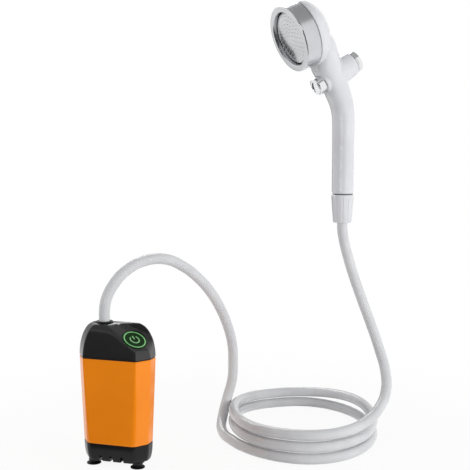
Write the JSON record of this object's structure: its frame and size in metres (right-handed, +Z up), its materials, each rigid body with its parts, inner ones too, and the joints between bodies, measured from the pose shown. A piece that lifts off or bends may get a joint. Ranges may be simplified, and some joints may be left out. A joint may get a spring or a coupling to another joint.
{
  "type": "camp shower pump",
  "caption": "Rechargeable camp shower: a standing submersible pump with a slanted power button, a white hose lying in a coil, and a hand shower with a push-through water valve.",
  "frame": {"origin": "on the floor, under the middle of the pump's base", "axes": "+Z up; -Y out of the pump's wide front; +X to the pump's right as seen from the front, towards the coil"},
  "size_m": [0.2893, 0.274, 0.4632],
  "materials": {
    "orange_shell": "glossy moulded ABS",
    "black_plastic": "satin moulded ABS",
    "black_rubber": "matt soft rubber",
    "grey_plastic": "matt moulded ABS",
    "white_plastic": "glossy moulded ABS",
    "hose_pvc": "smooth glossy PVC",
    "chrome_trim": "chrome plated ABS",
    "spray_face": "satin plate with fine holes",
    "green_light": "translucent, lit from behind",
    "steel": "plain steel",
    "brass": "turned brass",
    "board": "solder-masked board",
    "cell_wrap": "shrink-wrapped cell",
    "sponge": "open-cell foam"
  },
  "bodies": {
    "pump": {"body_shell": "orange_shell", "cap_seal": "black_rubber", "top_cap": "black_plastic", "hose_collar": "black_rubber", "hose_barb": "black_plastic", "riser_tube": "hose_pvc", "control_board": "board", "tact_switch": "black_plastic", "charge_socket": "steel", "battery_cell": "cell_wrap", "battery_cradle": "grey_plastic", "motor": "steel", "motor_plate": "grey_plastic", "shaft_seal": "black_rubber", "volute": "grey_plastic", "volute_screws": "steel", "filter_base": "black_plastic", "filter_sponge": "sponge", "suction_cups": "black_rubber", "hose_arch": "hose_pvc", "hose_coil": "hose_pvc", "hose_rise": "hose_pvc", "hose_tail": "brass"},
    "rotor": {"motor_shaft": "steel", "impeller": "white_plastic"},
    "button": {"power_button": "black_plastic", "button_light": "green_light"},
    "cover": {"charge_cover": "black_rubber"},
    "hand_shower": {"handle": "white_plastic", "hose_nut": "white_plastic", "nut_washer": "black_rubber", "inlet_filter": "steel", "head_ring": "chrome_trim", "spray_plate": "spray_face", "face_seal": "black_rubber"},
    "water_valve": {"valve_spool": "white_plastic", "front_button": "chrome_trim", "rear_button": "chrome_trim", "spool_seals": "black_rubber"}
  },
  "joints": [
    {"name": "button_press", "type": "slide", "parent": "pump", "child": "button", "axis": [-0.4568, 0.2966, -0.8387], "range_m": [0, 0.0008], "stiffness_N_per_m": 800, "springref_m": -0.0008},
    {"name": "rotor_spin", "type": "hinge", "parent": "pump", "child": "rotor", "pos_m": [-0.003, 0, 0.03], "axis": [0, 0, 1], "continuous": true},
    {"name": "cover_flip", "type": "hinge", "parent": "pump", "child": "cover", "pos_m": [0, 0.0194, 0.1137], "axis": [-1, 0, 0], "range_deg": [0, 110]},
    {"name": "hand_swivel", "type": "hinge", "parent": "pump", "child": "hand_shower", "pos_m": [0.193, 0.1605, 0.232], "axis": [0, 0, 1], "continuous": true},
    {"name": "valve_push", "type": "slide", "parent": "hand_shower", "child": "water_valve", "axis": [0.6435, 0.5594, 0.5225], "range_m": [0, 0.006]}
  ]
}
